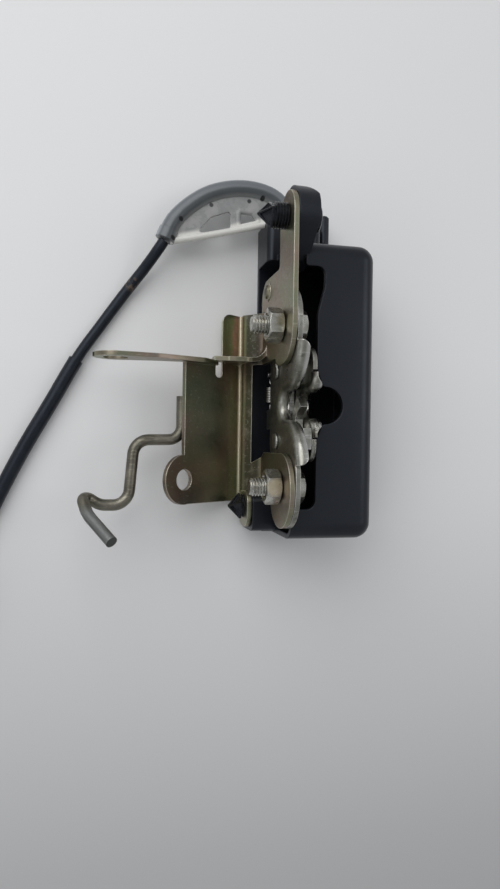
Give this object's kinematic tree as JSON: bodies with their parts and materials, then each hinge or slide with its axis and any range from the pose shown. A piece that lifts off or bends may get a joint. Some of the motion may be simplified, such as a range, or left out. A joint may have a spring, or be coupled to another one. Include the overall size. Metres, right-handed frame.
{
  "type": "seat back latch",
  "caption": "Latch for a seat back, with a fork and pawl between two plates, on a folded bracket, with a moulded cover and a release cable.",
  "frame": {"origin": "on the cover's back, in the plane of the base plate's left face, level with the middle of the striker throat", "axes": "+X along the bolts from the nuts to the cover, +Y along the latch towards the cable guide, +Z the way the striker leaves the throat"},
  "size_m": [0.2369, 0.224, 0.062],
  "materials": {
    "plate_zinc": "zinc plated, satin",
    "bright_zinc": "zinc plated, bright",
    "olive_zinc": "olive chromate on zinc, iridescent",
    "black_plastic": "moulded, fine grain",
    "grey_plastic": "moulded, translucent grey",
    "spring_steel": "drawn wire",
    "cable_jacket": "smooth jacket"
  },
  "bodies": {
    "lock": {"base_plate": "plate_zinc", "side_plate": "plate_zinc", "fork_pin": "bright_zinc", "pawl_pin": "bright_zinc", "bolt_upper": "bright_zinc", "bolt_lower": "bright_zinc", "nut_upper": "olive_zinc", "nut_lower": "olive_zinc", "bracket": "olive_zinc", "hook_rod": "olive_zinc", "cover": "black_plastic", "push_clip_upper": "black_plastic", "push_clip_lower": "black_plastic", "cable_guide": "grey_plastic", "pawl_spring": "spring_steel", "release_wire": "spring_steel", "cable_outer": "cable_jacket", "cable_sleeve": "cable_jacket", "cable_lead": "cable_jacket", "cable_coil": "cable_jacket", "cable_tail": "cable_jacket", "cable_end_fitting": "spring_steel"},
    "fork": {"fork": "bright_zinc"},
    "pawl": {"pawl": "bright_zinc"}
  },
  "joints": [
    {"name": "fork_turn", "type": "hinge", "parent": "lock", "child": "fork", "pos_m": [0.0073, -0.0155, 0.031], "axis": [-1, 0, 0], "range_deg": [0, 35]},
    {"name": "pawl_turn", "type": "hinge", "parent": "lock", "child": "pawl", "pos_m": [0.0073, 0.0155, 0.031], "axis": [1, 0, 0], "range_deg": [0, 15], "stiffness_Nm_per_rad": 0.02, "springref_deg": -11.46, "deforming": ["pawl_spring", "release_wire"]}
  ]
}
